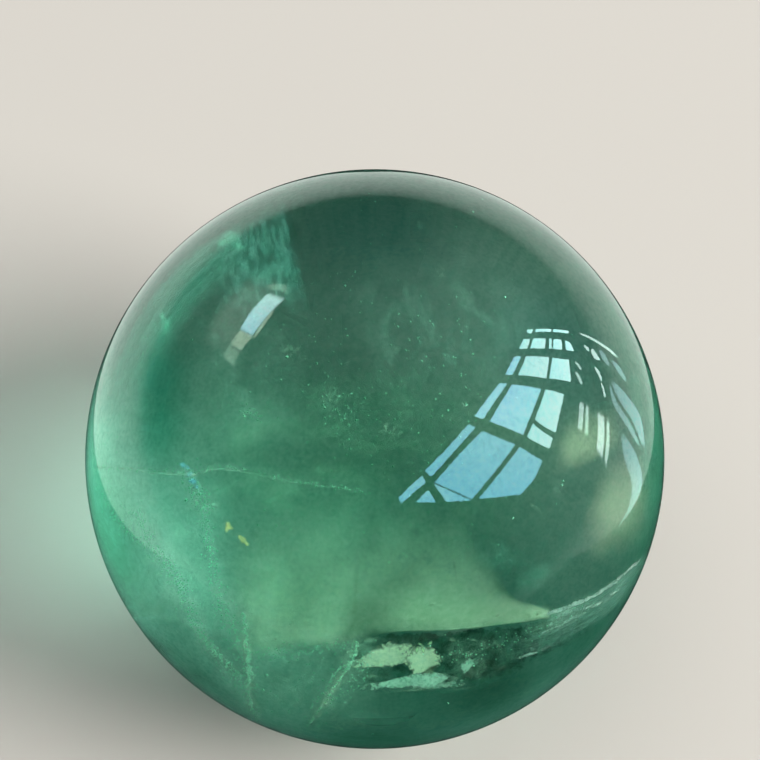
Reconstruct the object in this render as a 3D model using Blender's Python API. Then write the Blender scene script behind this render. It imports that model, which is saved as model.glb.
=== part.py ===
# A hand-polished sphere of green fluorite that stands on a small ground flat.
# Metres, +Z up. The origin is the middle of the flat, where the stone meets the table.

import math

import bmesh
import bpy
from mathutils import Matrix

# The sizes that drive the stone
DIAMETER = 0.080
FLAT_DIAMETER = 0.0085  # just wide enough to keep the stone from rolling on a 5 degree slope

# How finely the ball is cut: meridians around it, and bands from the flat up to the crown
MERIDIANS = 96
BANDS = 46

# What follows from them
RADIUS = DIAMETER / 2
FLAT_RADIUS = FLAT_DIAMETER / 2
CENTRE_HEIGHT = math.sqrt(RADIUS**2 - FLAT_RADIUS**2)

# The look of the stone seen from a step away
STONE_GREEN = (0.10, 0.42, 0.27, 1.0)
FLUORITE_IOR = 1.434
POLISH_ROUGHNESS = 0.03


def clear_scene():
    for old in list(bpy.data.objects):
        bpy.data.objects.remove(old, do_unlink=True)


def fluorite_material():
    material = bpy.data.materials.new("green_fluorite")
    material.use_nodes = True
    shader = material.node_tree.nodes["Principled BSDF"]
    shader.inputs["Base Color"].default_value = STONE_GREEN
    shader.inputs["Roughness"].default_value = POLISH_ROUGHNESS
    shader.inputs["Metallic"].default_value = 0.0
    shader.inputs["IOR"].default_value = FLUORITE_IOR
    shader.inputs["Transmission Weight"].default_value = 0.8
    return material


def meridian(mesh):
    """The half outline: from the middle of the flat, out to its rim, then up the ball to the crown."""
    rim_angle = math.asin(FLAT_RADIUS / RADIUS)
    outline = [mesh.verts.new((0.0, 0.0, 0.0))]
    for band in range(BANDS + 1):
        angle = rim_angle + (math.pi - rim_angle) * band / BANDS
        across = RADIUS * math.sin(angle)
        height = CENTRE_HEIGHT - RADIUS * math.cos(angle)
        outline.append(mesh.verts.new((across, 0.0, height)))
    for lower, upper in zip(outline, outline[1:]):
        mesh.edges.new((lower, upper))
    return outline


def turned_ball():
    """The outline spun once around the stone's upright axis and closed at both ends."""
    mesh = bmesh.new()
    outline = meridian(mesh)
    outline[1].co.z = 0.0  # the rim of the flat lies exactly in the table's plane
    outline[-1].co.x = 0.0  # the crown lies exactly on the axis
    bmesh.ops.spin(
        mesh,
        geom=mesh.verts[:] + mesh.edges[:],
        cent=(0.0, 0.0, 0.0),
        axis=(0.0, 0.0, 1.0),
        angle=math.tau,
        steps=MERIDIANS,
        use_merge=True,
    )
    bmesh.ops.remove_doubles(mesh, verts=mesh.verts[:], dist=1e-6)
    bmesh.ops.recalc_face_normals(mesh, faces=mesh.faces[:])
    return mesh


def fluorite_sphere():
    mesh = turned_ball()
    data = bpy.data.meshes.new("fluorite_sphere")
    mesh.to_mesh(data)
    mesh.free()
    data.shade_smooth()
    data.set_sharp_from_angle(angle=math.radians(20))
    data.materials.append(fluorite_material())
    stone = bpy.data.objects.new("fluorite_sphere", data)
    stone.matrix_world = Matrix.Identity(4)
    bpy.context.scene.collection.objects.link(stone)
    return stone


clear_scene()
fluorite_sphere()
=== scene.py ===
import math
import random

import bmesh
import bpy
from mathutils import Euler, Matrix, Vector, noise


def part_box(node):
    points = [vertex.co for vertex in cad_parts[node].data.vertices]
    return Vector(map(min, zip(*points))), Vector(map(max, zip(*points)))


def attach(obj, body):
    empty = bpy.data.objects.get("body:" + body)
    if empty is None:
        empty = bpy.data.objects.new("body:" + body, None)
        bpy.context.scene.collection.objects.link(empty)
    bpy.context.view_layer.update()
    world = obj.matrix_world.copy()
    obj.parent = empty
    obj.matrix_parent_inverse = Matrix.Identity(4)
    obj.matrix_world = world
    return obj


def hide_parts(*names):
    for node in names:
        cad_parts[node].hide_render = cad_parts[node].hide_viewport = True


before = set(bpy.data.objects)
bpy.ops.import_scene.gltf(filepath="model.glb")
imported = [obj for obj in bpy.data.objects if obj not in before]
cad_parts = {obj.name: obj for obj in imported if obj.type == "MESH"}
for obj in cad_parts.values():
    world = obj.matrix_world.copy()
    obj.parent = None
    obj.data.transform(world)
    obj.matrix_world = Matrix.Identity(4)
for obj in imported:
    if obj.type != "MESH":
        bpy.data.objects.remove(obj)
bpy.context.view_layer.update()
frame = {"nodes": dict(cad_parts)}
print("frame loaded:", ", ".join(frame["nodes"]))

ballRadius = 0.040
ball = {
    "radius": ballRadius,
    "flatRadius": 0.00425,  # the small ground flat it stands on
    "centre": Vector((0, 0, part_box("fluorite_sphere")[1].z - ballRadius)),
    "ior": 1.434,
}

photoView = {
    "place": (0.000972, -0.132943, 0.314385),
    "turn": (27.854, 0.645, -1.220),  # degrees, with the little roll of a phone held by hand
    "lens": 103.69,
    "sensor": 36.0,
    "clip": (0.01, 30),
    "frame": 760,  # the picture is square, this many pixels a side
}


def addObject(name, data):
    made = bpy.data.objects.new(name, data)
    bpy.context.scene.collection.objects.link(made)
    return made


def makeCamera(v):
    camData = bpy.data.cameras.new("photoCamera")
    camData.lens = v["lens"]
    camData.sensor_width = v["sensor"]
    camData.clip_start, camData.clip_end = v["clip"]
    cam = addObject("photoCamera", camData)
    cam.location = v["place"]
    cam.rotation_euler = Euler([math.radians(a) for a in v["turn"]])
    bpy.context.scene.camera = cam
    return cam


camera = makeCamera(photoView)


# where the ray through a pixel of the photo meets the ball, from the ball's centre
def meetBall(px, py):
    half = photoView["frame"] / 2
    reach = photoView["lens"] / photoView["sensor"] * photoView["frame"]
    ray = Vector((px - half, half - py, -reach)).normalized()
    ray.rotate(camera.rotation_euler)
    start = Vector(photoView["place"]) - ball["centre"]
    along = start.dot(ray)
    cut = along * along - start.length_squared + ball["radius"] ** 2
    hit = start + ray * (-along - math.sqrt(max(cut, 0)))
    return ray, hit, hit.normalized()


# what lies inside the stone is placed as the photo's eye sees it: a pixel, and how deep along the bent ray
def inStone(px, py, deep):
    ray, hit, out = meetBall(px, py)
    facing = -out.dot(ray)
    bend = 1 / ball["ior"]
    inner = ray * bend + out * (bend * facing - math.sqrt(1 - bend * bend * (1 - facing * facing)))
    chord = -2 * hit.dot(inner)
    return ball["centre"] + hit + inner * (chord * deep)


nodeStep = 220  # how far apart the nodes stand in the editor


# an input takes a value, or another node's output
def fillInputs(tree, made, inputs):
    for key, value in inputs.items():
        if isinstance(value, bpy.types.NodeSocket):
            tree.links.new(value, made.inputs[key])
        else:
            made.inputs[key].default_value = value


def node(tree, kind, inputs=None, **settings):
    made = tree.nodes.new("ShaderNode" + kind)
    made.location.x = nodeStep * len(tree.nodes)
    for key, value in settings.items():
        setattr(made, key, value)
    fillInputs(tree, made, inputs or {})
    return made


def maths(tree, operation, *inputs):
    return node(tree, "Math", dict(enumerate(inputs)), operation=operation).outputs[0]


def mixColours(tree, factor, first, second, **settings):
    ends = [c if isinstance(c, bpy.types.NodeSocket) else (*c[:3], 1) for c in (first, second)]
    inputs = {"Factor": factor, "A": ends[0], "B": ends[1]}
    return node(tree, "Mix", inputs, data_type="RGBA", **settings).outputs["Result"]


def newMaterial(name):
    mat = bpy.data.materials.new(name)
    mat.use_nodes = True
    return mat, mat.node_tree, mat.node_tree.nodes["Principled BSDF"]


def finishPiece(bm, name, mat, smooth=True):
    mesh = bpy.data.meshes.new(name)
    bm.to_mesh(mesh)
    bm.free()
    if smooth:
        mesh.shade_smooth()
    mesh.materials.append(mat)
    return addObject(name, mesh)


# masks that several materials share: an input without a value is a vector
def maskGroup(name, inputs):
    group = bpy.data.node_groups.new(name, "ShaderNodeTree")
    for label, value in inputs.items():
        kind = "NodeSocketVector" if value is None else "NodeSocketFloat"
        socket = group.interface.new_socket(label, in_out="INPUT", socket_type=kind)
        if value is not None:
            socket.default_value = value
    into = group.nodes.new("NodeGroupInput")
    return group, into.outputs


def giveMask(group, mask):
    group.interface.new_socket("Mask", in_out="OUTPUT", socket_type="NodeSocketFloat")
    out = group.nodes.new("NodeGroupOutput")
    out.location.x = nodeStep * len(group.nodes)
    group.links.new(mask, out.inputs["Mask"])
    return group


def useMask(tree, group, inputs):
    return node(tree, "Group", inputs, node_tree=group).outputs["Mask"]


def makeCloudMask():
    group, given = maskGroup("cloudMask", {
        "Vector": None, "Scale": 5.0, "Twist": 0.3, "Low": 0.4, "High": 0.6})
    cloud = node(group, "TexNoise", {
        "Vector": given["Vector"], "Scale": given["Scale"], "Distortion": given["Twist"],
        "Detail": 5, "Roughness": 0.62})
    cover = node(group, "MapRange", {
        "Value": cloud.outputs["Fac"], "From Min": given["Low"], "From Max": given["High"]},
        interpolation_type="SMOOTHSTEP")
    return giveMask(group, cover.outputs["Result"])


# noise that frays an edge both ways
def frayNoise(group, given):
    frayed = node(group, "TexNoise", {
        "Vector": given["Grain"], "Scale": given["Scale"], "Detail": 5, "Roughness": 0.65})
    return maths(group, "SUBTRACT", frayed.outputs["Fac"], 0.5)


def makeSheetEdges():
    group, given = maskGroup("sheetEdges", {
        "Place": None, "Grain": None, "Ragged": 0.1, "Scale": 300.0,
        "Left": 0.1, "Right": 0.1, "Near": 0.1, "Far": 0.1})
    amount = maths(group, "MULTIPLY", frayNoise(group, given), given["Ragged"])
    moved = node(group, "VectorMath", {0: given["Place"], 1: amount}, operation="ADD")
    split = node(group, "SeparateXYZ", {0: moved.outputs[0]})
    mask = None
    for axis, side in [("X", "Left"), ("X", "Right"), ("Y", "Near"), ("Y", "Far")]:
        way = split.outputs[axis]
        if side in ("Right", "Far"):
            way = maths(group, "SUBTRACT", 1.0, way)
        fade = node(group, "MapRange", {"Value": way, "From Max": given[side]},
                    interpolation_type="SMOOTHSTEP").outputs["Result"]
        mask = maths(group, "MULTIPLY", mask, fade) if mask else fade
    return giveMask(group, mask)


def makeRaggedPatch():
    group, given = maskGroup("raggedPatch", {
        "Place": None, "Grain": None, "Ragged": 0.5, "Scale": 400.0, "Soft": 0.2})
    reach = node(group, "VectorMath", {0: given["Place"], 1: (0.5, 0.5, 0)}, operation="DISTANCE")
    inward = node(group, "MapRange", {  # 0 half way to the mesh's own edge
        "Value": reach.outputs["Value"], "From Max": 0.5, "To Min": 0.7, "To Max": -0.7})
    torn = maths(group, "MULTIPLY_ADD", frayNoise(group, given), given["Ragged"],
                 inward.outputs["Result"])
    fade = node(group, "MapRange", {"Value": torn, "From Max": given["Soft"]},
                interpolation_type="SMOOTHSTEP")
    return giveMask(group, fade.outputs["Result"])


cloudMask = makeCloudMask()
sheetEdges = makeSheetEdges()
raggedPatch = makeRaggedPatch()

# the ball itself
stoneLook = {
    "around": 256,
    "bands": 160,
    "soak": (0.0, 0.725, 0.53, 1.0),  # what the crystal lets through
    "density": 14.0,
    "polish": 0.015,
    "milk": 0.34,  # light that has crossed the crystal leaves it spread by its milkiness
    "mottle": (0.84, 0.92, 0.90),
    "clouds": (160.0, 0.0, 0.32, 0.68),  # scale, twist and cover of the mottling
    "grain": (0.60, 0.77, 0.75),
    "grains": (1500.0, 0.4, 0.30, 0.66),  # and of the fine grain
    "sharp": 4,  # degrees, so that only the rim of the flat is an edge
    # soft zones, partly the crystal's colour zoning and partly painted shade (a darker top, rims and bottom,
    # and round the flat): pixel of the photo and depth, inner and outer reach in mm, tint
    "zones": [
        ((372, 222, 0), 3, 25, (0.12, 0.26, 0.26)),
        ((163, 378, 0), 1, 8, (0.22, 0.74, 0.66)),
        ((160, 428, 0), 1, 8, (0.24, 0.76, 0.66)),
        ((105, 520, 0), 3, 15, (0.40, 0.86, 0.68)),
        ((640, 590, 0), 3, 12, (0.36, 0.70, 0.62)),
        ((560, 345, 0), 2, 15, (0.42, 0.64, 0.70)),
        ((375, 745, 0), 3, 16, (0.14, 0.36, 0.30)),
        ((495, 695, 0), 2, 11, (0.30, 0.42, 0.38)),
        ((585, 640, 0), 2, 9, (0.46, 0.72, 0.66)),
        ((440, 720, 1), 3, 9, (0.30, 0.44, 0.40)),
    ],
}


def smoothStep(value, low, high):
    t = min(max((value - low) / (high - low), 0), 1)
    return t * t * (3 - 2 * t)


# the tint of each place on the ball, growth colour and painted shade together, kept on its mesh
def growthAndShadeTint(place, zones):
    tint = Vector((1, 1, 1))
    for centre, inner, outer, shade in zones:
        near = smoothStep((place - centre).length, outer / 1000, inner / 1000)
        tint = Vector([t * (1 + (c - 1) * near) for t, c in zip(tint, shade)])
    return (*tint, 1)


def stoneMaterial(s):
    mat, tree, shader = newMaterial("greenFluorite")
    place = node(tree, "TexCoord").outputs["Object"]
    shades = []
    for (scale, twist, low, high), shade in [(s["clouds"], s["mottle"]), (s["grains"], s["grain"])]:
        cover = useMask(tree, cloudMask, {
            "Vector": place, "Scale": scale, "Twist": twist, "Low": low, "High": high})
        shades.append(mixColours(tree, cover, shade, (1, 1, 1)))
    both = mixColours(tree, 1.0, *shades, blend_type="MULTIPLY")
    # the zones' tint, partly growth colour and partly painted shade
    growthAndShade = node(tree, "Attribute", attribute_name="growthAndShade")
    tint = mixColours(tree, 1.0, growthAndShade.outputs["Color"], both, blend_type="MULTIPLY")
    side = node(tree, "NewGeometry")
    spread = node(tree, "MapRange", {
        "Value": side.outputs["Backfacing"], "To Min": s["polish"], "To Max": s["milk"]})
    fillInputs(tree, shader, {
        "Base Color": tint, "Roughness": spread.outputs["Result"], "IOR": ball["ior"],
        "Transmission Weight": 1.0})
    soak = node(tree, "VolumeAbsorption", {"Color": s["soak"], "Density": s["density"]})
    tree.links.new(soak.outputs["Volume"], tree.nodes["Material Output"].inputs["Volume"])
    return mat


def stoneBody(s, mat):
    bm = bmesh.new()
    rim = math.asin(ball["flatRadius"] / ball["radius"])
    last = bm.verts.new((0, 0, 0))
    for i in range(s["bands"] + 1):
        a = rim + (math.pi - rim) * i / s["bands"]
        across = ball["radius"] * math.sin(a) if i < s["bands"] else 0.0
        up = ball["centre"].z - ball["radius"] * math.cos(a) if i else 0.0
        new = bm.verts.new((across, 0, up))
        bm.edges.new((last, new))
        last = new
    bmesh.ops.spin(bm, geom=bm.verts[:] + bm.edges[:], cent=(0, 0, 0), axis=(0, 0, 1),
                   angle=math.tau, steps=s["around"], use_merge=True)
    bmesh.ops.remove_doubles(bm, verts=bm.verts[:], dist=1e-7)
    bmesh.ops.recalc_face_normals(bm, faces=bm.faces[:])
    # each point takes the tint of its zones, partly painted shade
    growthAndShade = bm.verts.layers.float_color.new("growthAndShade")
    zones = [(inStone(*at), inner, outer, shade) for at, inner, outer, shade in s["zones"]]
    for v in bm.verts:
        v[growthAndShade] = growthAndShadeTint(v.co, zones)
    piece = finishPiece(bm, "fluoriteBall", mat)
    piece.data.set_sharp_from_angle(angle=math.radians(s["sharp"]))
    return piece


stone = stoneBody(stoneLook, stoneMaterial(stoneLook))
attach(stone, "root")
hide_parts("fluorite_sphere")
print("stone made:", len(stone.data.polygons), "faces")

# thin faces inside the crystal, in metres
skin = 0.0003  # nothing inside comes nearer to the polish
sheetThickness = 0.00004
layerStep = 0.02  # a further layer of a veil lies this much deeper along the ray


def alongCurve(points, t):
    place = min(max(t, 0), 1) * (len(points) - 1)
    i = min(int(place), len(points) - 2)
    f = place - i
    a, b = points[i], points[i + 1]
    before = points[i - 1] if i else a * 2 - b
    after = points[i + 2] if i + 2 < len(points) else b * 2 - a
    return 0.5 * (2 * a + (b - before) * f + (2 * before - 5 * a + 4 * b - after) * f ** 2
                  + (3 * a - before - 3 * b + after) * f ** 3)


def keepInside(place):
    arm = place - ball["centre"]
    if arm.length > ball["radius"] - skin:
        place = ball["centre"] + arm.normalized() * (ball["radius"] - skin)
    return Vector((place.x, place.y, max(place.z, skin)))


# a grid with its UV map, whose points are laid out by how far across and down they are
def addGrid(bm, uvs, cut, placeAt):
    made = bmesh.ops.create_grid(bm, x_segments=cut[0], y_segments=cut[1], size=0.5)["verts"]
    for face in {f for v in made for f in v.link_faces}:
        for loop in face.loops:
            loop[uvs].uv = (loop.vert.co.x + 0.5, loop.vert.co.y + 0.5)
    for v in made:
        v.co = placeAt(v.co.x + 0.5, v.co.y + 0.5)


def rideInStone(piece):
    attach(piece, "root")


def closeThin(bm, name, mat):
    for v in bm.verts:
        v.co = keepInside(v.co)
    bmesh.ops.solidify(bm, geom=bm.faces[:], thickness=sheetThickness)
    bmesh.ops.recalc_face_normals(bm, faces=bm.faces[:])
    rideInStone(finishPiece(bm, name, mat))


# a sheet is drawn through rows of points, each a pixel of the photo and a depth
def makeSheet(name, look, mat):
    bm = bmesh.new()
    uvs = bm.loops.layers.uv.new("sheet")
    parts = look.get("parts", [look.get("rows")])
    for part, layer in [(p, k) for p in parts for k in range(look.get("layers", 1))]:
        rows = [[inStone(px, py, deep + layerStep * layer) for px, py, deep in row] for row in part]
        addGrid(bm, uvs, look["cut"], lambda u, w: alongCurve([alongCurve(row, u) for row in rows], w))
    bm.normal_update()
    high, wide = look["wave"]
    offset = Vector((look["seed"], 0, 0))
    moves = [(v, v.normal * high * noise.noise(v.co / wide + offset)) for v in bm.verts]
    for v, move in moves:
        v.co += move
    closeThin(bm, name, mat)


# a flake is a small ragged patch: pixel, depth, half length and half width in pixels, turn in degrees
def makeFlakes(name, look, mat):
    bm = bmesh.new()
    uvs = bm.loops.layers.uv.new("sheet")
    layers = range(look.get("layers", 1))
    for (px, py, deep, longHalf, wideHalf, turn), layer in [(f, k) for f in look["flakes"] for k in layers]:
        c, s = math.cos(math.radians(turn)), math.sin(math.radians(turn))

        def spread(u, w):
            x, y = (4 * u - 2) * longHalf, (4 * w - 2) * wideHalf  # the mesh reaches past its torn edge
            return inStone(px + c * x - s * y, py + s * x + c * y, deep + layerStep * layer)

        addGrid(bm, uvs, look.get("cut", (10, 10)), spread)
    closeThin(bm, name, mat)


def veilMaterial(name, look):
    mat, tree, shader = newMaterial(name)
    mat.use_transparent_shadow = False  # the ball round it casts the shadow
    coord = node(tree, "TexCoord").outputs
    stretch = node(tree, "Mapping", {
        "Vector": coord[look.get("by", "Object")], "Rotation": look.get("turn", (0, 0, 0)),
        "Scale": look.get("grain", (1, 1, 1))})
    low, high = look["cover"]
    cloud = useMask(tree, cloudMask, {
        "Vector": stretch.outputs[0], "Scale": look["scale"], "Twist": look.get("twist", 0.3),
        "Low": low, "High": high})
    lift = node(tree, "MapRange", {
        "Value": cloud, "To Min": look["least"] * look["alpha"], "To Max": look["alpha"]})
    if "edges" in look:
        border, labels, fray = sheetEdges, ("Left", "Right", "Near", "Far", "Ragged"), 300
    else:
        border, labels, fray = raggedPatch, ("Ragged", "Soft"), 450
    edges = useMask(tree, border, {
        "Place": coord["UV"], "Grain": coord["Object"], "Scale": look.get("fray", fray),
        **dict(zip(labels, look.get("edges") or look["torn"]))})
    colour = mixColours(tree, cloud, *look["colours"])
    fillInputs(tree, shader, {
        "Alpha": maths(tree, "MULTIPLY", lift.outputs["Result"], edges),
        "Base Color": colour, "Roughness": 1.0, "Specular IOR Level": 0.0})
    # painted light: a veil with a glow gives off light of its own
    if "glow" in look:
        fillInputs(tree, shader, {"Emission Color": colour, "Emission Strength": look["glow"]})
    return mat


sheets = {}
sheets["levelMiddle"] = {  # the bright milky level, which ends in a crisp lower edge
    "rows": [
        [(225, 655, .36), (255, 658, .37), (290, 657, .38), (325, 652, .37), (352, 644, .36), (395, 633, .34),
         (440, 632, .32), (490, 627, .29), (530, 622, .25), (549, 617, .22)],
        [(215, 612, .4), (250, 616, .42), (285, 612, .43), (318, 605, .43), (350, 602, .43), (395, 600, .4),
         (440, 600, .37), (490, 604, .32), (528, 611, .26), (552, 612, .23)],
        [(205, 562, .45), (245, 562, .46), (285, 555, .48), (318, 550, .49), (350, 552, .49), (395, 550, .46),
         (440, 552, .43), (484, 575, .38), (524, 603, .27), (553, 609, .235)],
        [(200, 520, .48), (240, 508, .5), (285, 492, .52), (318, 488, .52), (350, 492, .52), (395, 494, .5),
         (440, 498, .46), (478, 530, .42), (518, 596, .28), (554, 606, .24)],
    ],
    "cut": (90, 36), "wave": (.001, .006), "seed": 3.1, "layers": 2,
    "scale": 900, "cover": (.26, .72), "least": .66, "alpha": .28, "edges": (.22, .04, .16, .72, .3),
    "fray": 500, "colours": ((.8, 1.0, .68), (.84, 1.0, .8)),
}
sheets["levelBright"] = {  # its brightest stretch, just above the crisp edge
    "rows": [
        [(368, 637, .345), (400, 631.5, .33), (440, 631, .31), (490, 626, .28), (530, 621, .24),
         (549, 617, .212)],
        [(366, 612, .36), (400, 606, .35), (440, 606, .33), (490, 608, .295), (528, 611, .247),
         (552, 611, .215)],
        [(370, 585, .38), (400, 574, .38), (440, 576, .35), (488, 590, .31), (524, 600, .255),
         (554, 605, .218)],
    ],
    "cut": (70, 24), "wave": (.0006, .005), "seed": 3.6, "fray": 1200, "layers": 2,
    "scale": 1300, "cover": (.26, .72), "least": .6, "alpha": .28, "edges": (.3, .05, .02, .9, .1),
    "colours": ((.72, 1.0, .66), (.78, 1.0, .74)),
}
sheets["levelLeft"] = {
    "rows": [
        [(116, 622, .1), (150, 624, .24), (190, 630, .34), (250, 662, .38)],
        [(106, 590, .1), (145, 590, .24), (200, 592, .36), (252, 600, .42)],
        [(86, 520, .08), (130, 500, .26), (190, 505, .38), (250, 510, .44)],
        [(80, 440, .06), (130, 430, .24), (190, 440, .36), (245, 450, .42)],
    ],
    "cut": (48, 48), "wave": (.0012, .007), "seed": 5.7, "fray": 700, "layers": 2,
    "scale": 600, "cover": (.26, .72), "least": .55, "alpha": .25, "edges": (.05, .5, .06, .8, .18),
    "colours": ((.46, 1.0, .82), (.66, 1.0, .84)),
}
sheets["leftMilk"] = {
    "rows": [
        [(160, 470, .26), (220, 480, .32), (280, 478, .34), (350, 470, .34)],
        [(170, 380, .24), (230, 380, .32), (280, 380, .34), (345, 380, .34)],
        [(190, 300, .22), (240, 290, .28), (285, 285, .32), (340, 285, .34)],
    ],
    "cut": (40, 30), "wave": (.0015, .007), "seed": 8.8, "fray": 300,
    "scale": 700, "cover": (.34, .7), "least": .35, "alpha": .09, "edges": (.35, .45, .35, .4, .3),
    "colours": ((.55, 1.0, .8), (.75, 1.0, .88)),
}
sheets["lowHaze"] = {
    "rows": [
        [(215, 716, .16), (290, 728, .2), (345, 738, .2), (420, 740, .2)],
        [(212, 680, .26), (285, 685, .3), (345, 690, .3), (410, 694, .28)],
        [(214, 636, .34), (280, 640, .36), (340, 640, .36), (392, 636, .36)],
    ],
    "cut": (40, 30), "wave": (.0012, .006), "seed": 4.1, "fray": 500,
    "scale": 900, "cover": (.24, .76), "least": .3, "alpha": .15, "edges": (.3, .4, .4, .2, .4),
    "colours": ((.5, 1.0, .76), (.75, 1.0, .84)),
}
sheets["featherVeil"] = {
    "parts": [
        [[(198, 462, .42), (213, 500, .42), (223, 545, .4), (232, 595, .36), (250, 645, .3)],
         [(168, 466, .44), (180, 506, .43), (188, 550, .41), (199, 600, .38), (218, 650, .33)]],
        [[(142, 500, .2), (172, 542, .25), (196, 580, .3), (218, 625, .33), (246, 666, .3), (262, 704, .2)],
         [(112, 516, .16), (140, 562, .2), (162, 602, .27), (188, 648, .29), (224, 694, .24),
          (248, 728, .14)]],
    ],
    "cut": (80, 24), "wave": (.0012, .0035), "seed": 1.2, "fray": 900,
    "scale": 900, "cover": (.3, .74), "least": .2, "alpha": .15, "edges": (.1, .25, .35, .45, .4),
    "colours": ((.75, 1.0, .88), (.88, 1.0, .92)),
}
sheets["upperCleavage"] = {  # a cleavage face that catches the light in upright streaks
    "rows": [
        [(212, 330, .16), (244, 325, .24), (278, 312, .3), (313, 320, .36)],
        [(206, 296, .12), (240, 290, .2), (272, 285, .29), (303, 284, .34)],
        [(208, 262, .06), (238, 253, .14), (268, 248, .26), (294, 250, .32)],
        [(222, 234, .03), (244, 222, .09), (262, 210, .2), (283, 203, .28)],
    ],
    "cut": (60, 60), "wave": (.0005, .004), "seed": 6.4, "by": "UV", "grain": (8, 3.4, 1),
    "turn": (0, 0, -.14),
    "twist": 0.0, "fray": 900,
    "scale": 2.0, "cover": (.3, .74), "least": .1, "alpha": .27, "layers": 3, "edges": (.5, .04, .6, .25, .4),
    "colours": ((.14, .62, .5), (.62, 1.0, .9)),
}
sheets["rimArcs"] = {  # faint growth lines close under the surface
    "rows": [
        [(100, 425, .03), (112, 370, .03), (135, 318, .03), (168, 272, .03), (210, 237, .03),
         (258, 210, .03)],
        [(128, 425, .09), (138, 376, .09), (158, 330, .09), (188, 290, .09), (224, 258, .09),
         (266, 232, .09)],
        [(158, 425, .15), (166, 384, .15), (182, 344, .15), (208, 308, .15), (238, 280, .15),
         (274, 256, .15)],
    ],
    "cut": (60, 20), "wave": (.0003, .004), "seed": 4.9, "by": "UV", "grain": (2.8, 5.5, 1),
    "twist": 0.0, "scale": 2.4, "cover": (.28, .76), "least": .35, "alpha": .26, "layers": 2,
    "edges": (.3, .25, .16, .6, .2), "colours": ((.2, 1.0, .72), (.5, 1.0, .84)),
}
hairline = [
    (94, 469, .03), (115, 470, .06), (135, 471, .09), (150, 475, .12), (172, 476, .16), (195, 476, .2),
    (212, 472, .23), (232, 472, .26), (255, 476, .29), (290, 484, .32), (340, 490, .36), (392, 497, .38),
]
sheets["hairline"] = {
    "rows": [hairline, [(px, py - 4, deep) for px, py, deep in hairline]],
    "cut": (140, 6), "wave": (.0002, .002), "seed": 2.2, "fray": 1500,
    "scale": 1300, "cover": (.4, .68), "least": .1, "alpha": .22, "edges": (.02, .45, .5, .45, .7),
    "colours": ((.75, 1.0, .8), (.9, 1.0, .85)),
}
crack = {"fray": 1300, "scale": 1500, "cover": (.3, .7)}
sheets["forkedCrack"] = {
    "rows": [
        [(346, 630, .37), (348, 655, .35), (337, 670, .31), (321, 696, .24), (301, 725, .14)],
        [(362, 630, .37), (363, 655, .35), (351, 673, .31), (333, 702, .24), (311, 730, .14)],
    ],
    "cut": (80, 12), "wave": (.0009, .0014), "seed": 4.4, **crack,
    "least": .2, "alpha": .15, "edges": (.25, .15, .45, .45, .5),
    "colours": ((.75, 1.0, .68), (.9, 1.0, .72)),
}
sheets["sideCrack"] = {
    "rows": [
        [(252, 606, .34), (255, 650, .31), (257, 672, .28), (259, 690, .23), (270, 718, .15)],
        [(236, 606, .34), (240, 650, .31), (241, 672, .28), (242, 692, .23), (252, 722, .15)],
    ],
    "cut": (60, 12), "wave": (.0006, .0015), "seed": 7.7, **crack,
    "least": .25, "alpha": .15, "edges": (.2, .15, .45, .45, .5),
    "colours": ((.7, 1.0, .75), (.85, 1.0, .75)),
}
sheets["leftCrack"] = {
    "rows": [
        [(184, 620, .4), (198, 644, .38), (213, 664, .35), (236, 682, .31)],
        [(198, 616, .4), (213, 638, .38), (230, 656, .35), (244, 670, .31)],
    ],
    "cut": (50, 12), "wave": (.0006, .0015), "seed": 5.1, **crack,
    "least": .2, "alpha": .16, "edges": (.2, .1, .45, .45, .5),
    "colours": ((.7, 1.0, .75), (.85, 1.0, .75)),
}
sheets["fractureShade"] = {  # painted shade: a dark sheet under the lower fracture
    "rows": [
        [(300, 706, .4), (350, 696, .38), (400, 692, .36), (445, 690, .34), (500, 680, .29), (545, 658, .23),
         (590, 634, .16), (625, 602, .09)],
        [(300, 682, .42), (350, 666, .41), (400, 661, .39), (445, 660, .37), (500, 653, .32), (545, 640, .26),
         (590, 618, .18), (630, 590, .09)],
        [(300, 660, .44), (350, 643, .44), (400, 633.5, .43), (445, 632.5, .41), (500, 627, .36),
         (545, 620, .29), (590, 604, .2), (636, 576, .09)],
    ],
    "cut": (80, 20), "wave": (.0006, .005), "seed": 9.3, "fray": 1000,
    "scale": 900, "cover": (.32, .68), "least": .3, "alpha": .46, "edges": (.42, .35, .22, .05, .3),
    "colours": ((.02, .12, .07), (.008, .05, .03)),
}
sheets["palePatches"] = {  # pale crushed places in the fracture
    "parts": [
        [[(348, 669, .388), (374, 668, .386), (393, 667, .384), (409, 663, .38)],
         [(356, 661, .388), (374, 659, .386), (392, 657, .384), (414, 656, .38)],
         [(362, 655, .388), (378, 645, .386), (394, 641, .384), (415, 643, .38)]],
        [[(412, 680, .375), (422, 680, .375), (434, 680, .374)],
         [(410, 670, .376), (422, 670, .376), (436, 670, .375)],
         [(402, 661, .378), (422, 661, .378), (443, 661, .377)],
         [(409, 653, .38), (422, 652, .38), (439, 654, .379)],
         [(413, 642, .382), (421, 643, .382), (431, 644, .381)]],
    ],
    "cut": (28, 24), "wave": (.0002, .002), "seed": 1.7, "fray": 2200,
    "scale": 2400, "cover": (.2, .5), "least": .72, "alpha": .92, "edges": (.2, .16, .2, .28, .8),
    "colours": ((.8, .98, .66), (.94, 1.0, .76)),
}
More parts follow.
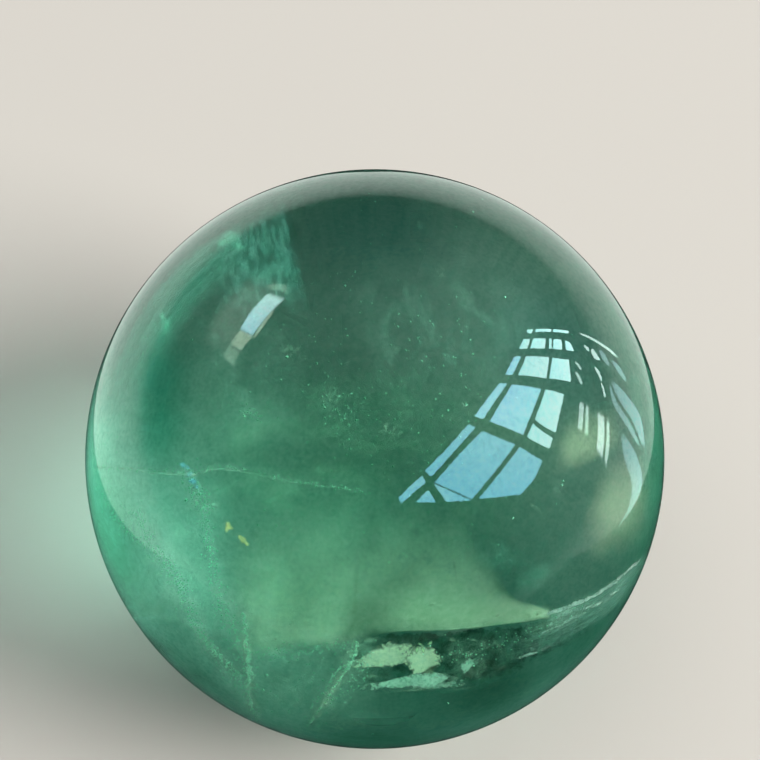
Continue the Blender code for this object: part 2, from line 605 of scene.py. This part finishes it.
sheets["tealPatches"] = {
    "parts": [
        [[(358, 690, .366), (400, 690, .362), (432, 689, .358), (468, 688, .352)],
         [(366, 684, .368), (402, 681, .364), (430, 680, .36), (466, 683, .354)],
         [(376, 683, .37), (404, 676, .366), (430, 672, .362), (464, 678, .356)]],
        [[(467, 679, .344), (474, 680, .343), (482, 678, .342)],
         [(460, 667, .346), (473, 667, .345), (487, 668, .344)],
         [(466, 657, .348), (475, 658, .347), (484, 658, .346)]],
    ],
    "cut": (28, 18), "wave": (.0002, .002), "seed": 8.2, "fray": 2200,
    "scale": 2400, "cover": (.24, .56), "least": .6, "alpha": .8, "edges": (.2, .18, .2, .26, .8),
    "colours": ((.48, .94, .7), (.74, 1.0, .84)),
}
sheets["crushedHaze"] = {  # crushed, granular places at both ends of the fracture
    "parts": [
        [[(318, 712, .33), (345, 702, .34), (372, 694, .35)],
         [(328, 685, .36), (350, 676, .36), (376, 672, .36)],
         [(340, 652, .38), (358, 648, .38), (380, 646, .38)],
         [(352, 620, .39), (366, 622, .39), (384, 626, .39)]],
        [[(442, 690, .345), (475, 686, .335), (520, 676, .31)],
         [(440, 664, .355), (475, 662, .345), (522, 656, .31)],
         [(438, 632, .365), (475, 630, .355), (520, 628, .32)]],
        [[(524, 642, .27), (560, 632, .225), (600, 612, .16)],
         [(526, 630, .28), (560, 618, .235), (600, 600, .165)],
         [(536, 612, .29), (566, 600, .24), (604, 584, .17)]],
    ],
    "cut": (40, 40), "wave": (.0006, .003), "seed": 2.6, "fray": 500,
    "scale": 1300, "cover": (.34, .72), "least": .15, "alpha": .18, "edges": (.35, .35, .35, .35, .5),
    "colours": ((.55, 1.0, .72), (.78, 1.0, .82)),
}
sheets["edgeStreaks"] = {  # bright combed streaks where the fracture runs out to the surface
    "rows": [
        [(488, 668, .29), (540, 655, .24), (585, 633, .17), (622, 603, .1), (652, 560, .03)],
        [(505, 645, .31), (545, 633, .25), (588, 613, .18), (622, 588, .11), (652, 550, .04)],
        [(520, 622, .32), (552, 607, .26), (590, 594, .19), (620, 573, .12), (648, 543, .05)],
    ],
    "cut": (60, 24), "wave": (.0003, .004), "seed": 6.6, "by": "UV", "grain": (2.4, 11, 1),
    "turn": (0, 0, .12),
    "twist": 0.0, "scale": 2.6, "cover": (.38, .7), "least": .12, "alpha": .25, "layers": 2,
    "edges": (.3, .12, .25, .25, .14), "colours": ((.5, 1.0, .8), (.78, 1.0, .92)),
}
sheets["sunlit"] = {  # yellow-green light through the right side
    "parts": [
        [[(536, 484, .05), (566, 476, .05), (596, 466, .05), (628, 452, .05)],
         [(546, 462, .05), (570, 456, .05), (596, 450, .05), (626, 440, .05)],
         [(552, 438, .05), (574, 430, .05), (598, 426, .05), (624, 420, .05)],
         [(556, 414, .05), (578, 404, .05), (600, 402, .05), (622, 400, .05)]],
        [[(566, 580, .05), (606, 564, .05), (648, 546, .05)],
         [(582, 512, .05), (618, 506, .05), (656, 498, .05)],
         [(592, 462, .05), (622, 450, .05), (656, 440, .05)]],
    ],
    "cut": (24, 24), "wave": (0.0, 1.0), "seed": 0.0, "fray": 300, "layers": 2,
    "scale": 900, "cover": (.24, .74), "least": .6, "alpha": .16, "edges": (.5, .45, .5, .5, .35),
    "colours": ((.74, 1.0, .62), (.82, 1.0, .7)),
}
sheets["upperHaze"] = {
    "rows": [
        [(300, 400, .3), (400, 405, .32), (500, 400, .3), (590, 380, .22)],
        [(310, 320, .28), (400, 320, .3), (490, 310, .28), (570, 300, .2)],
        [(325, 250, .22), (400, 245, .24), (470, 240, .22), (530, 240, .14)],
    ],
    "cut": (40, 30), "wave": (.002, .012), "seed": 3.8, "by": "UV", "grain": (5, 1.6, 1), "turn": (0, 0, .2),
    "scale": 1.8, "cover": (.4, .78), "least": 0.0, "alpha": .13, "edges": (.3, .3, .3, .3, .2),
    "colours": ((.55, 1.0, .78), (.8, 1.0, .85)),
}
sheets["middleHaze"] = {
    "rows": [
        [(160, 520, .55), (260, 560, .62), (380, 580, .64), (480, 570, .58), (580, 530, .4)],
        [(150, 440, .45), (260, 450, .55), (380, 455, .58), (480, 450, .54), (600, 430, .36)],
        [(160, 370, .35), (260, 370, .45), (380, 360, .48), (480, 360, .45), (590, 350, .3)],
    ],
    "cut": (40, 30), "wave": (.003, .012), "seed": 7.2,
    "scale": 220, "cover": (.36, .7), "least": .3, "alpha": .17, "edges": (.25, .25, .3, .3, .2),
    "colours": ((.55, 1.0, .72), (.75, 1.0, .75)),
}

flakes = {}
flakes["fingers"] = {
    "flakes": [
        (417, 650, .38, 2.0, 6, 10), (423, 650, .38, 1.8, 5, -20), (430, 643, .38, 3.5, 1.6, -35),
        (420, 644, .38, 3, 1.2, 10), (411, 655, .38, 2, 3, 20), (436, 678, .36, 4, 1.6, 20),
    ],
    "torn": (1.1, .6), "fray": 2600,
    "scale": 2400, "cover": (.2, .54), "least": .55, "alpha": .88,
    "colours": ((.6, .98, .58), (.85, 1.0, .66)),
}
flakes["softPatches"] = {
    "flakes": [
        (453, 640, .365, 10, 3.0, 14), (451, 654, .36, 3, 5, -8), (460, 655, .355, 4, 8, 25),
        (482, 644, .35, 5, 4, 15), (474, 640, .35, 4, 1.6, 0), (468, 654, .35, 4, 4, 0),
        (488, 662, .34, 8, 3, 20), (500, 648, .33, 12, 5, 60), (513, 658, .3, 4, 2, -20),
        (350, 655, .37, 10, 7, -25), (375, 676, .37, 14, 3, 0), (415, 690, .35, 34, 1.4, -3),
        (465, 688, .34, 12, 1.2, -8), (370, 640, .38, 10, 4, -10), (442, 674, .355, 8, 1.6, 4),
        (500, 668, .33, 10, 3, -20),
    ],
    "torn": (1.6, .9), "fray": 2200,
    "scale": 2200, "cover": (.34, .62), "least": .25, "alpha": .25, "layers": 2,
    "colours": ((.58, 1.0, .7), (.84, 1.0, .8)),
}
flakes["brightStreaks"] = {
    "flakes": [
        (545, 632, .26, 11, 2.0, -26), (562, 624, .25, 12, 2.0, -26), (580, 615, .21, 10, 1.7, -26),
        (530, 654, .25, 14, 2.0, -18), (545, 648, .25, 8, 1.8, -22), (553, 623, .25, 7, 2.1, -40),
        (559, 619, .24, 6, 1.7, -42), (566, 612, .22, 11, 2.2, -22), (556, 611, .22, 17, 2.5, -16),
        (577, 603, .21, 21, 2.6, -20), (593, 596, .16, 20, 2.2, -26), (606, 588, .13, 20, 2.2, -31),
        (620, 577, .09, 18, 2.0, -36), (633, 566, .05, 15, 1.9, -40), (598, 604, .14, 11, 1.7, -28),
        (615, 592, .1, 9, 1.5, -35), (572, 618, .22, 14, 1.5, -27), (590, 606, .17, 10, 1.5, -28),
    ],
    "torn": (1.2, .8), "fray": 1800,
    "scale": 1800, "cover": (.26, .6), "least": .4, "alpha": .75,
    "colours": ((.6, 1.0, .86), (.88, 1.0, .94)),
}
# painted glints: teal flakes that glow
flakes["tealGlints"] = {
    "flakes": [
        (166, 325, .1, 7, 11, 8), (162, 316, .1, 4, 6, 0), (231, 238, .1, 12, 9, 10),
        (222, 243, .09, 7, 5, -10), (238, 246, .1, 8, 6, 20),
    ],
    "torn": (1.1, .9), "fray": 1500, "layers": 3,
    "scale": 1600, "cover": (.3, .62), "least": .4, "alpha": .28,
    "colours": ((.1, .96, .55), (.45, 1.0, .78)), "glow": .42,
}
flakes["tealClouds"] = {
    "flakes": [
        (204, 323, .17, 15, 10, 35), (214, 336, .17, 11, 8, 50), (217, 312, .18, 4, 14, 28),
        (252, 224, .13, 20, 12, -20), (266, 238, .2, 9, 26, -5), (282, 250, .24, 8, 26, -8),
        (150, 345, .08, 14, 26, 20), (122, 400, .06, 10, 30, 12), (292, 283, .28, 14, 7, -8),
        (226, 297, .2, 5, 13, 38), (540, 574, .34, 36, 20, -25), (500, 556, .36, 26, 18, -20),
    ],
    "torn": (1.0, 1.2), "fray": 700,
    "scale": 1300, "cover": (.28, .7), "least": .3, "alpha": .22,
    "colours": ((.26, 1.0, .72), (.6, 1.0, .86)),
}
# the blue and gold glints glow too: painted glints
glint = {
    "torn": (1.1, 1.0), "fray": 2600,
    "scale": 2400, "cover": (.25, .6), "least": .6, "alpha": .28, "layers": 3,
}
flakes["blueGlints"] = {
    **glint,
    "flakes": [
        (183, 465, .35, 4.5, 3.6, 20), (187, 468, .35, 3, 3.2, 60), (190, 474, .36, 3.4, 4.6, 40),
        (194, 482, .36, 4.4, 4.4, 30), (197, 487, .36, 3.2, 2.4, 0), (191, 480, .36, 3, 4, 50),
    ],
    "colours": ((.14, .5, 1.0), (.32, .8, 1.0)), "glow": .3,
}
flakes["goldGlints"] = {
    **glint,
    "flakes": [
        (228, 525, .33, 4.6, 3.8, 60), (227, 529, .33, 3.4, 4.0, 10), (231, 528, .33, 3.2, 2.2, 0),
        (240, 537, .34, 3.2, 2.8, 30), (243, 540, .34, 4.4, 4.4, 10), (247, 544, .34, 3, 2.4, 50),
    ],
    "colours": ((1.0, .8, .12), (1.0, .95, .4)), "glow": .34,
}
flakes["wisps"] = {
    "flakes": [
        (398, 348, .3, 14, 6, -28), (563, 482, .2, 3, 7, 12), (557, 491, .2, 5, 4, 30),
        (534, 507, .22, 14, 4, 35), (470, 213, .3, 9, 3, -5), (505, 297, .28, 5, 4, 40),
        (420, 226, .3, 5, 8, 0), (198, 500, .36, 12, 10, 40), (215, 506, .36, 8, 8, 0),
        (466, 404, .3, 6, 4, 0), (345, 286, .3, 6, 3, 0), (330, 704, .22, 6, 10, 20),
        (345, 668, .4, 24, 14, -30), (290, 350, .3, 18, 14, 30), (330, 400, .32, 14, 20, 10),
        (390, 430, .28, 16, 10, 0), (440, 270, .26, 10, 14, 20),
    ],
    "torn": (1.3, 1.0), "fray": 500,
    "scale": 1800, "cover": (.44, .66), "least": .12, "alpha": .26,
    "colours": ((.7, 1.0, .8), (.9, 1.0, .8)),
}
# dark flakes: partly dark places in the crystal, partly painted shade below and beside the bright veils
flakes["darkSmudges"] = {
    "flakes": [
        (415, 532, .4, 8, 8, 10), (356, 588, .34, 5, 46, 2), (295, 234, .34, 8, 26, -12),
        (265, 228, .22, 2.5, 16, -4), (252, 236, .2, 2.5, 14, -8), (276, 678, .42, 22, 16, 0),
        (258, 258, .24, 22, 8, -20), (160, 646, .16, 34, 12, 34), (196, 676, .22, 30, 12, 36),
        (473, 604, .4, 1.8, 22, -32), (455, 570, .4, 2, 26, -10),
    ],
    "torn": (1.4, 1.2), "fray": 300,
    "scale": 500, "cover": (.26, .7), "least": .4, "alpha": .3,
    "colours": ((.01, .1, .06), (.02, .14, .09)),
}

# fine dust in the crystal: bands along a line, with half width in pixels, spread in depth and a number
dustLook = {
    "seed": 11,
    "batch": 100,  # cubes made at a time
    "bands": [
        ([(184, 466, .42), (200, 500, .42), (210, 545, .4), (219, 597, .36), (238, 645, .31),
          (251, 690, .25)], 5, .02, 520),
        ([(132, 508, .18), (158, 553, .22), (182, 592, .28), (203, 637, .31), (235, 680, .28),
          (256, 716, .18)], 4, .02, 460),
        ([(100, 486, .1), (112, 512, .12), (136, 539, .14), (166, 558, .18), (188, 590, .24)], 2, .02, 200),
        ([(244, 612, .34), (247, 650, .31), (249, 672, .28), (248, 691, .23), (257, 722, .14)],
         1.3, .01, 420),
        ([(191, 618, .4), (206, 641, .38), (222, 660, .35), (242, 677, .31)], 2, .01, 220),
        ([(357, 640, .37), (354, 658, .35), (344, 673, .31), (327, 699, .24), (306, 728, .14)], .8, .01, 190),
        ([(350, 662, .34), (336, 672, .31), (322, 694, .25), (300, 722, .15)], .8, .01, 60),
        ([(330, 704, .33), (350, 680, .36), (372, 656, .38)], 9, .02, 110),
        ([(440, 656, .36), (465, 655, .345), (495, 650, .33)], 9, .02, 60),
        ([(250, 652, .37), (300, 652, .37), (350, 646, .35)], 4, .02, 160),
        ([(500, 640, .3), (545, 625, .25), (600, 600, .14)], 6, .02, 60),
        ([(96, 466, .03), (145, 470, .1), (195, 471, .2), (230, 467, .26), (290, 480, .32), (370, 492, .37)],
         1.3, .01, 230),
        ([(194, 484, .36), (200, 497, .36), (206, 508, .36)], 5, .02, 80),
        ([(225, 244, .1), (240, 236, .11)], 6, .01, 60),
        ([(280, 680, .3), (330, 715, .22)], 26, .04, 60),
        ([(246, 410, .3), (256, 418, .3)], 4, .01, 34),
        ([(330, 400, .32), (352, 424, .32)], 9, .02, 60),
        ([(300, 300, .3), (420, 380, .34), (400, 480, .4)], 75, .12, 300),
        ([(110, 520, .1), (110, 400, .1), (180, 290, .1)], 16, .04, 120),
    ],
    "depths": (.03, .9),
    "grain": (.00006, .00015),  # edge lengths in metres
    "spots": [
        (267, 675, .3), (263, 690, .28), (448, 703, .2), (373, 734, .12), (345, 286, .3), (513, 518, .24),
        (505, 297, .28), (473, 212, .3), (466, 404, .3), (332, 700, .22), (200, 494, .36), (209, 494, .36),
        (186, 500, .36), (197, 503, .36), (162, 314, .1), (287, 357, .3), (563, 481, .2), (562, 485, .2),
    ],
    "spot": (.00016, .00026),
    "mottle": 900.0,
    "colours": ((.42, .8, .62), (.64, .98, .8)),
}


def dustMaterial(look):
    mat, tree, shader = newMaterial("paleDust")
    mat.use_transparent_shadow = False
    cloud = useMask(tree, cloudMask, {
        "Vector": node(tree, "TexCoord").outputs["Object"],
        "Scale": look["mottle"], "Twist": 0.0, "Low": 0.35, "High": 0.65})
    fillInputs(tree, shader, {
        "Base Color": mixColours(tree, cloud, *look["colours"]),
        "Roughness": 0.9, "Specular IOR Level": 0.0})
    return mat


# little cubes, as fluorite cleaves, turned every way
def makeDust(name, look, mat):
    draw = random.Random(look["seed"])
    places = [(spot, look["spot"]) for spot in look["spots"]]
    shallowest, deepest = look["depths"]
    for line, reach, spread, number in look["bands"]:
        line = [Vector(p) for p in line]
        for _ in range(number):
            px, py, deep = alongCurve(line, draw.random())
            px, py = px + draw.gauss(0, reach), py + draw.gauss(0, reach)
            deep = min(max(deep + draw.gauss(0, spread), shallowest), deepest)
            places.append(((px, py, deep), look["grain"]))
    whole = bmesh.new()
    for first in range(0, len(places), look["batch"]):
        bm = bmesh.new()
        for spot, size in places[first:first + look["batch"]]:
            turn = Euler([draw.uniform(0, math.tau) for _ in range(3)])
            shape = Vector([draw.uniform(*size) for _ in range(3)])
            place = Matrix.LocRotScale(keepInside(inStone(*spot)), turn, shape)
            bmesh.ops.create_cube(bm, size=1.0, matrix=place)
        part = bpy.data.meshes.new("dustPart")
        bm.to_mesh(part)
        bm.free()
        whole.from_mesh(part)
        bpy.data.meshes.remove(part)
    rideInStone(finishPiece(whole, name, mat, smooth=False))


makeDust("dust", dustLook, dustMaterial(dustLook))
for name, look in sheets.items():
    makeSheet(name, look, veilMaterial(name, look))
for name, look in flakes.items():
    makeFlakes(name, look, veilMaterial(name, look))
print("inner faces made")

# pale floor
floorLook = {
    "half": 3,
    "drop": 0.0002,  # a hair under the stone, so that light gets under the flat
    "colour": (0.46, 0.453, 0.435, 1),
    "roughness": 1.0,
    "shine": 0.0,  # it mirrors nothing, so the panes stay out of it
}


def flatSquare(name, half, lift, mat, turn=0, ahead=0):
    bm = bmesh.new()
    bmesh.ops.create_grid(bm, x_segments=1, y_segments=1, size=half)
    bmesh.ops.rotate(bm, verts=bm.verts[:], matrix=Matrix.Rotation(math.radians(turn), 3, "Z"))
    bmesh.ops.translate(bm, verts=bm.verts[:], vec=(0, ahead, lift))
    return finishPiece(bm, name, mat, smooth=False)


def makeFloor(f):
    mat, tree, shader = newMaterial("paleFloor")
    fillInputs(tree, shader, {
        "Base Color": f["colour"], "Roughness": f["roughness"], "Specular IOR Level": f["shine"]})
    flatSquare("floor", f["half"], -f["drop"], mat)


def mirroredOnly(piece):
    piece.visible_camera = piece.visible_diffuse = piece.visible_transmission = piece.visible_shadow = False


# what only the polish mirrors: it gives off light on one side and is clear from the other
# paint makes its colour, and a mask of what is left clear or None
def lightMaterial(name, glow, paint):
    mat = bpy.data.materials.new(name)
    mat.use_nodes = True
    mat.cycles.emission_sampling = "NONE"  # it lights nothing, it is only mirrored
    tree = mat.node_tree
    tree.nodes.clear()
    colour, left = paint(tree)
    hidden = node(tree, "NewGeometry").outputs["Backfacing"]
    if left:
        hidden = maths(tree, "MAXIMUM", left, hidden)
    tone = node(tree, "Emission", {"Color": colour, "Strength": glow})
    clear = node(tree, "BsdfTransparent")
    pick = node(tree, "MixShader", {0: hidden, 1: tone.outputs[0], 2: clear.outputs[0]})
    node(tree, "OutputMaterial", {"Surface": pick.outputs[0]})
    return mat


# a pale round card that fades outwards, and a dark one on it, whose corner lies behind the stone
cardLook = {
    "glow": 1.0,
    "paleLift": 0.00006,
    "paleSize": 3.0,
    "paleTone": (0.92, 1.0, 0.94, 1),
    "farTone": (0.03, 0.035, 0.035, 1),
    "fadeFrom": (-0.05, 0.07, 0),
    "fade": (0.10, 0.60),
    "darkLift": 0.0001,
    "darkSize": 0.34,
    "corner": 0.107,
    "darkTone": (0.012, 0.014, 0.016, 1),
}


def makeCards(c):
    def palePaint(tree):
        place = node(tree, "TexCoord").outputs["Object"]
        reach = node(tree, "VectorMath", {0: place, 1: c["fadeFrom"]}, operation="DISTANCE")
        start, end = c["fade"]
        fade = node(tree, "MapRange", {
            "Value": reach.outputs["Value"], "From Min": start, "From Max": end},
            interpolation_type="SMOOTHSTEP")
        return mixColours(tree, fade.outputs["Result"], c["paleTone"], c["farTone"]), None

    pale = lightMaterial("paleCard", c["glow"], palePaint)
    mirroredOnly(flatSquare("paleCard", c["paleSize"], c["paleLift"], pale))
    dark = lightMaterial("darkCard", c["glow"], lambda tree: (c["darkTone"], None))
    ahead = c["corner"] - c["darkSize"] / math.sqrt(2)
    mirroredOnly(flatSquare("darkCard", c["darkSize"] / 2, c["darkLift"], dark, 45, ahead))


# bright panes round the stone, each drawn as its image in the polish: its two long edges, in pixels
paneReach = 1.3  # metres from the stone, or less where the mirrored ray meets the floor
paneLift = 0.00014
paneCut = (12, 6)
panes = {}
panes["whitePanes"] = {
    "panes": [
        ([(527, 329.6), (532.6, 329.4)], [(527, 333), (532.4, 332.8)]),
        ([(535.5, 329), (543, 328.8), (551.5, 329)], [(535, 332), (543, 331.8), (551.3, 332)]),
        ([(553, 329.2), (561, 329.8), (569, 331)], [(553, 332), (561, 332.6), (569, 333.4)]),
        ([(523.5, 338.8), (530, 338.8)], [(519, 349), (527.5, 348.8)]),
        ([(533, 338.3), (546, 338.3)], [(530, 348.6), (545, 348.6)]),
        ([(549.5, 338.5), (552, 338.6)], [(549, 348.8), (551.6, 348.8)]),
        ([(553.4, 338.8), (561.5, 339.6)], [(552.8, 348.8), (562.4, 349.8)]),
        ([(565, 340.5), (569.5, 342)], [(566, 350), (574.5, 351.5)]),
        ([(526, 356), (538, 356), (549.6, 356.8)], [(517.5, 375.5), (532, 376.5), (546.8, 379)]),
        ([(552, 357.4), (561, 358.3), (569, 359.8)], [(549, 378.8), (560, 380), (571.5, 382.5)]),
        ([(545.5, 389), (555, 391), (564.5, 393.8)], [(534.5, 419.5), (544, 427), (556, 433.5)]),
        ([(533, 423), (541, 430), (553.5, 438.5)], [(526.5, 437), (538, 443.5), (549.5, 449)]),
    ],
    "glow": 18.0, "colours": ((.52, .98, 1.0), (.66, 1.0, .98)), "soft": .03,
}
panes["bluePanes"] = {
    "panes": [
        ([(514.5, 356.4), (521.5, 356)], [(504.5, 375), (512.5, 375.2)]),
        ([(499.5, 382.8), (507.5, 383)], [(474, 416.5), (482.8, 419.8)]),
        ([(512, 383.8), (527, 385.5), (542, 388.4)], [(488.5, 421.5), (506, 428.5), (523.5, 435.5)]),
    ],
    "glow": 18.0, "colours": ((.38, .74, 1.0), (.42, .86, 1.0)), "soft": .03,
}
panes["lowPanes"] = {
    "panes": [
        ([(482, 430), (459, 454), (433, 483)], [(516.5, 444), (497, 470), (472, 500.5)]),
        ([(433, 483), (472, 500.5)], [(446, 502), (459, 501.5)]),
        ([(520, 446), (500, 472), (477, 500)], [(543, 460.5), (534, 480), (520.5, 495)]),
        ([(469, 423.5), (446, 449), (424, 471.5)], [(476.5, 426.5), (455, 451), (430.5, 478)]),
        ([(423, 475), (410, 486), (398, 498)], [(426, 482.5), (415, 492), (401, 504)]),
        ([(428, 490), (415, 502.5)], [(429, 491), (436.5, 502.5)]),
    ],
    "glow": 14.5, "colours": ((.34, .78, 1.0), (.26, .72, 1.0)), "soft": .03,
}
panes["uprights"] = {
    "panes": [
        ([(579.5, 400), (578.5, 416), (577, 429)], [(584, 402), (583.5, 418), (582, 432.5)]),
        ([(597.5, 410), (597.5, 430), (596, 451)], [(604.5, 415.5), (604.8, 437), (602.5, 462)]),
        ([(575, 361), (579, 364), (582, 369)], [(575, 363), (578, 367), (581.5, 371)]),
        ([(601, 381), (604, 388), (606.5, 397)], [(600.5, 383), (603, 392), (604.5, 398)]),
        ([(592, 347.5), (597, 354), (600.5, 360.5)], [(590.8, 349), (593, 357), (598.5, 361)]),
        ([(584, 344.5), (588, 347), (590, 351)], [(583.6, 346), (586, 349), (588.5, 352)]),
        ([(576, 371), (580, 376), (583, 384)], [(575, 373), (577.5, 378), (581.5, 386)]),
        ([(595, 366), (600, 372), (603, 381)], [(594.4, 367.5), (597.5, 374), (601.5, 382)]),
    ],
    "glow": 10.0, "colours": ((.8, 1.0, .95), (.76, 1.0, .98)), "soft": .12,
}
panes["dimUprights"] = {
    "panes": [
        ([(585.7, 403), (585, 418), (583.8, 437)], [(589, 404.5), (588.8, 420), (588.6, 438)]),
        ([(606.5, 416.5), (606, 440), (604, 463)], [(609.5, 418), (609.8, 445), (606, 472)]),
        ([(577, 331.5), (588, 335.5), (600, 342), (610, 349), (620, 358)],
         [(577, 333.8), (587, 337.5), (598.5, 344), (608.5, 351), (618, 359.5)]),
    ],
    "glow": 9.0, "colours": ((.8, 1.0, .95), (.72, 1.0, .9)), "soft": .16,
}
panes["bow"] = {
    "panes": [
        ([(612, 379), (629, 397), (641, 417), (646, 452)],
         [(610, 381), (619, 401), (632, 421), (643.5, 450)]),
        ([(609.5, 381.5), (617, 402), (630, 422), (642, 449)],
         [(609, 383), (613, 404), (626, 426), (640, 449)]),
        ([(621, 430), (637, 454), (643, 482), (634, 506), (616, 531)],
         [(620, 432), (624, 460), (631, 484), (628, 508), (615.5, 530)]),
        ([(600, 348.5), (605, 354), (610.5, 365)], [(598.8, 350.5), (602, 359), (609.5, 368)]),
        ([(612, 359), (620, 367), (627.5, 381)], [(610.8, 360), (617, 371), (626, 383)]),
    ],
    "glow": 3.6, "colours": ((.62, .9, 1.0), (.7, 1.0, 1.0)), "soft": .12,
}
panes["leftPane"] = {
    "panes": [
        ([(269, 291), (256, 304), (246, 317), (238, 331)], [(288, 297), (273, 311), (261, 325), (252, 338)]),
    ],
    "glow": 15.0, "colours": ((.66, .98, .94), (.48, .86, 1.0)), "soft": .12,
}
panes["leftEdge"] = {
    "panes": [
        ([(240, 329), (234, 336), (229, 345)], [(255, 336), (248, 343), (241, 352)]),
        ([(274, 309), (266, 318), (259, 327), (252, 338)], [(275, 311), (268, 320), (261, 330), (253, 341)]),
    ],
    "glow": 7.0, "colours": ((.84, 1.0, .74), (.78, 1.0, .76)), "soft": .14,
}
panes["leftEnd"] = {
    "panes": [
        ([(229, 343), (224, 350), (221, 357)], [(243, 351), (238, 360), (235, 370)]),
        ([(262, 286), (276, 283), (290, 284)], [(270, 291), (280, 291), (290, 297)]),
    ],
    "glow": 4.2, "colours": ((.74, 1.0, .76), (.67, 1.0, .78)), "soft": .24,
}
panes["leftHaze"] = {
    "panes": [
        ([(258, 268), (230, 288), (208, 316), (198, 344)], [(300, 284), (276, 312), (252, 338), (228, 374)]),
    ],
    "glow": 1.6, "colours": ((.84, 1.0, .84), (.84, 1.0, .84)), "soft": .3, "reach": 1.4,
}


# the place that the polish mirrors at a pixel
def mirrored(px, py, reach):
    ray, hit, out = meetBall(px, py)
    way = ray - out * (2 * out.dot(ray))
    start = ball["centre"] + hit
    if way.z < 0:
        reach = min(reach, (start.z - paneLift) / -way.z)
    return start + way * reach


def makePanes(name, look):
    def panePaint(tree):
        place = node(tree, "TexCoord").outputs["UV"]
        soft = dict.fromkeys(("Left", "Right", "Near", "Far"), look["soft"])
        edges = useMask(tree, sheetEdges, {"Place": place, "Ragged": 0.0, **soft})
        split = node(tree, "SeparateXYZ", {0: place})
        colour = mixColours(tree, split.outputs["X"], *look["colours"])
        return colour, maths(tree, "SUBTRACT", 1.0, edges)

    bm = bmesh.new()
    uvs = bm.loops.layers.uv.new("pane")
    reach = look.get("reach", paneReach)
    for edges in look["panes"]:
        one, other = [[Vector(p) for p in edge] for edge in edges]
        addGrid(bm, uvs, paneCut,
                lambda u, w: mirrored(*alongCurve(one, u).lerp(alongCurve(other, u), w), reach))
    bm.normal_update()
    away = [f for f in bm.faces if f.normal.dot(ball["centre"] - f.calc_center_median()) < 0]
    bmesh.ops.reverse_faces(bm, faces=away)
    mirroredOnly(finishPiece(bm, name, lightMaterial(name, look["glow"], panePaint), smooth=False))


# soft lamps and the grey room round them
lampLook = {
    "windowSide": {"place": (2.5, -0.7, 2.3), "size": 2.0, "watts": 204.0, "colour": (1.0, 0.96, 0.90)},
    "overhead": {"place": (-0.25, 0.2, 1.7), "size": 1.6, "watts": 12.5, "colour": (1.0, 0.97, 0.94)},
}
roomLook = {
    "overhead": (0.14, 0.14, 0.135, 1),
    "sides": (0.60, 0.59, 0.57, 1),
    "height": 0.7,  # where overhead begins
    "mirrored": (0.025, 0.03, 0.03, 1),  # the polish mirrors a dark room
}


def makeLamps(looks):
    for name, look in looks.items():
        data = bpy.data.lights.new(name, "AREA")
        data.shape = "DISK"
        data.size = look["size"]
        data.energy = look["watts"]
        data.color = look["colour"]
        lamp = addObject(name, data)
        lamp.location = look["place"]
        lamp.rotation_euler = Vector(look["place"]).to_track_quat("Z", "Y").to_euler()
        lamp.visible_camera = False
        lamp.visible_glossy = False


def makeRoom(r):
    world = bpy.data.worlds.new("greyRoom")
    world.use_nodes = True
    tree = world.node_tree
    way = node(tree, "TexCoord").outputs["Generated"]
    split = node(tree, "SeparateXYZ", {0: way})
    ramp = node(tree, "ValToRGB", {0: split.outputs["Z"]})
    low, high = ramp.color_ramp.elements
    low.color = r["sides"]
    high.position = r["height"]
    high.color = r["overhead"]
    kind = node(tree, "LightPath")
    seen = mixColours(tree, kind.outputs["Is Glossy Ray"], ramp.outputs[0], r["mirrored"])
    tree.links.new(seen, tree.nodes["Background"].inputs[0])
    bpy.context.scene.world = world


makeFloor(floorLook)
makeCards(cardLook)
for name, look in panes.items():
    makePanes(name, look)
makeLamps(lampLook)
makeRoom(roomLook)
print("room made")

scene = bpy.context.scene
scene.view_settings.view_transform = "Standard"
scene.cycles.max_bounces = 12
scene.cycles.transmission_bounces = 12
scene.cycles.diffuse_bounces = 3
scene.cycles.transparent_max_bounces = 64
